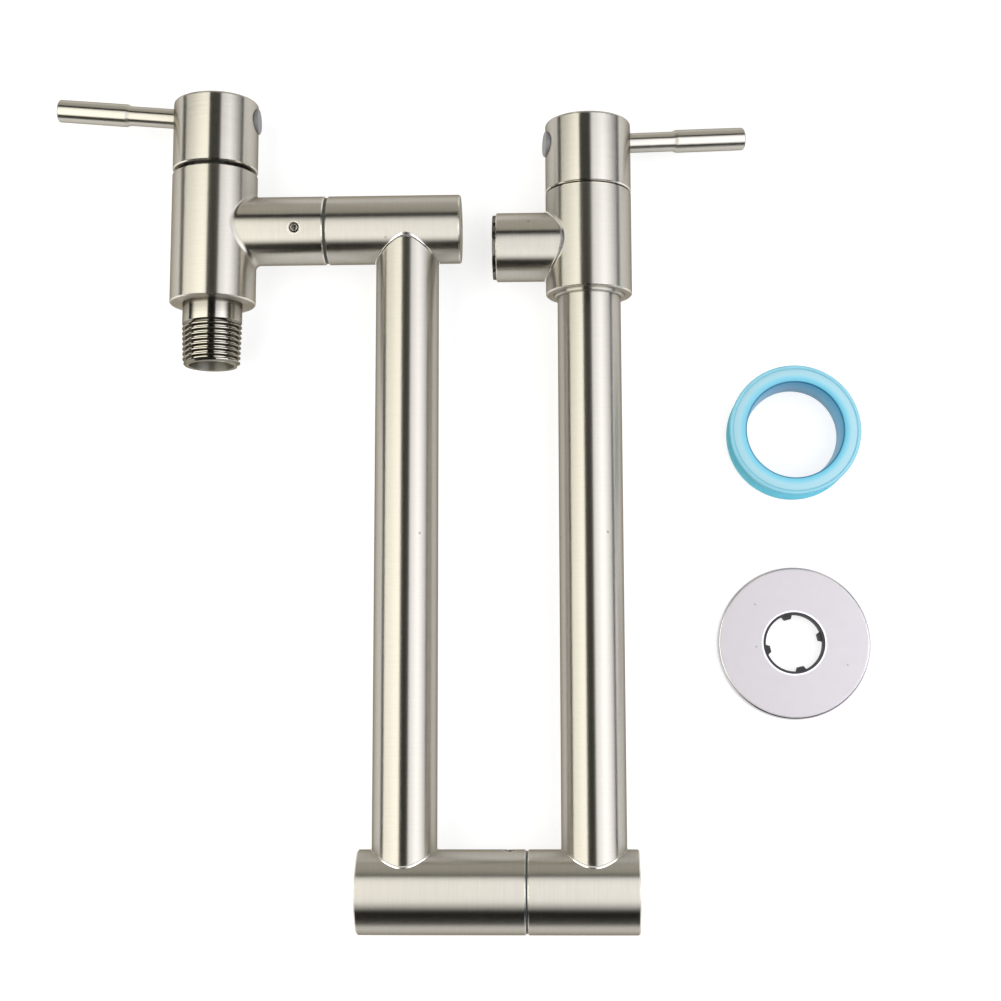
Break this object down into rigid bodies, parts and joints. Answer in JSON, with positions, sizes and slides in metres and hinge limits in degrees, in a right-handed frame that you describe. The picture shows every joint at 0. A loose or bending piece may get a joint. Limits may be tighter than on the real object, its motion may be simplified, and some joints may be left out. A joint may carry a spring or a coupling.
{
  "type": "wall-mounted folding faucet",
  "caption": "Satin steel wall tap with a folding two-part swivel arm, a lever valve at the wall and another at the spout, with its wall cover and a roll of thread-sealing tape.",
  "frame": {"origin": "on the inlet valve's axis, at the body's wall face, where the wall neck starts", "axes": "the faucet lies folded on a table as pictured, +Z away from the table; -Y along the inlet thread, into the wall in use; both swivel axes along +X, which is up in use"},
  "size_m": [0.285, 0.2921, 0.03],
  "materials": {
    "satin_steel": "fine circumferential brushing, satin",
    "bright_weld": "ground and polished weld",
    "screw_steel": "turned stainless steel",
    "swivel_steel": "turned stainless steel",
    "valve_brass": "turned brass",
    "disc_ceramic": "lapped white alumina ceramic",
    "black_rubber": "smooth moulded rubber",
    "grey_washer": "dark acetal, matte",
    "grey_plug": "flat grey plug, smooth",
    "aerator_steel": "turned stainless steel",
    "aerator_plastic": "white moulded plastic",
    "mirror_chrome": "mirror polished",
    "clear_blue": "translucent blue moulded plastic",
    "white_tape": "wound white sealing tape"
  },
  "bodies": {
    "inlet_valve": {"inlet_valve_body": "satin_steel", "inlet_nipple": "satin_steel", "inlet_cartridge_body": "valve_brass", "inlet_seat_seal": "black_rubber", "inlet_fixed_disc": "disc_ceramic", "inlet_collar_oring": "black_rubber", "shoulder_set_screw": "screw_steel"},
    "inlet_handle": {"inlet_handle_cap": "satin_steel", "inlet_handle_lever": "satin_steel", "inlet_cartridge_stem": "valve_brass", "inlet_moving_disc": "disc_ceramic", "inlet_stem_oring": "black_rubber", "inlet_stem_clip": "screw_steel", "inlet_grub_screw": "screw_steel", "inlet_index_plug": "grey_plug"},
    "inner_arm": {"shoulder_barrel": "satin_steel", "shoulder_end_plate": "satin_steel", "shoulder_spigot": "swivel_steel", "shoulder_orings": "black_rubber", "shoulder_washer": "grey_washer", "shoulder_weld_bead": "bright_weld", "inner_arm_tube": "satin_steel", "elbow_inner_barrel": "satin_steel", "elbow_inner_end_plate": "satin_steel", "elbow_inner_weld_bead": "bright_weld", "elbow_set_screw": "screw_steel"},
    "outer_arm": {"elbow_outer_barrel": "satin_steel", "elbow_outer_end_plate": "satin_steel", "elbow_spigot": "swivel_steel", "elbow_orings": "black_rubber", "elbow_washer": "grey_washer", "elbow_outer_weld_bead": "bright_weld", "outer_arm_tube": "satin_steel", "outlet_valve_body": "satin_steel", "outlet_stub_weld_bead": "bright_weld", "outlet_collar_bead": "satin_steel", "outlet_cartridge_body": "valve_brass", "outlet_seat_seal": "black_rubber", "outlet_fixed_disc": "disc_ceramic", "outlet_collar_oring": "black_rubber", "aerator_housing": "aerator_steel", "aerator_insert": "aerator_plastic", "aerator_washer": "black_rubber"},
    "outlet_handle": {"outlet_handle_cap": "satin_steel", "outlet_handle_lever": "satin_steel", "outlet_cartridge_stem": "valve_brass", "outlet_moving_disc": "disc_ceramic", "outlet_stem_oring": "black_rubber", "outlet_stem_clip": "screw_steel", "outlet_grub_screw": "screw_steel", "outlet_index_plug": "grey_plug"},
    "escutcheon": {"escutcheon_plate": "mirror_chrome", "escutcheon_grip_ring": "black_rubber"},
    "thread_tape": {"thread_tape_spool": "clear_blue", "thread_tape_roll": "white_tape"}
  },
  "joints": [
    {"name": "inlet_handle_turn", "type": "hinge", "parent": "inlet_valve", "child": "inlet_handle", "pos_m": [0, 0.0606, 0], "axis": [0, 1, 0], "range_deg": [0, 90]},
    {"name": "shoulder_swivel", "type": "hinge", "parent": "inlet_valve", "child": "inner_arm", "pos_m": [0.0403, 0.0262, 0], "axis": [1, 0, 0], "continuous": true},
    {"name": "elbow_swivel", "type": "hinge", "parent": "inner_arm", "child": "outer_arm", "pos_m": [0.1098, -0.2021, 0], "axis": [1, 0, 0], "continuous": true},
    {"name": "outlet_handle_turn", "type": "hinge", "parent": "outer_arm", "child": "outlet_handle", "pos_m": [0.1322, 0.0512, 0], "axis": [0, -1, 0], "range_deg": [0, 90]},
    {"name": "escutcheon_lift", "type": "slide", "parent": "inlet_valve", "child": "escutcheon", "axis": [0, 0, 1], "range_m": [0, 0.1]},
    {"name": "thread_tape_lift", "type": "slide", "parent": "inlet_valve", "child": "thread_tape", "axis": [0, 0, 1], "range_m": [0, 0.1]}
  ]
}
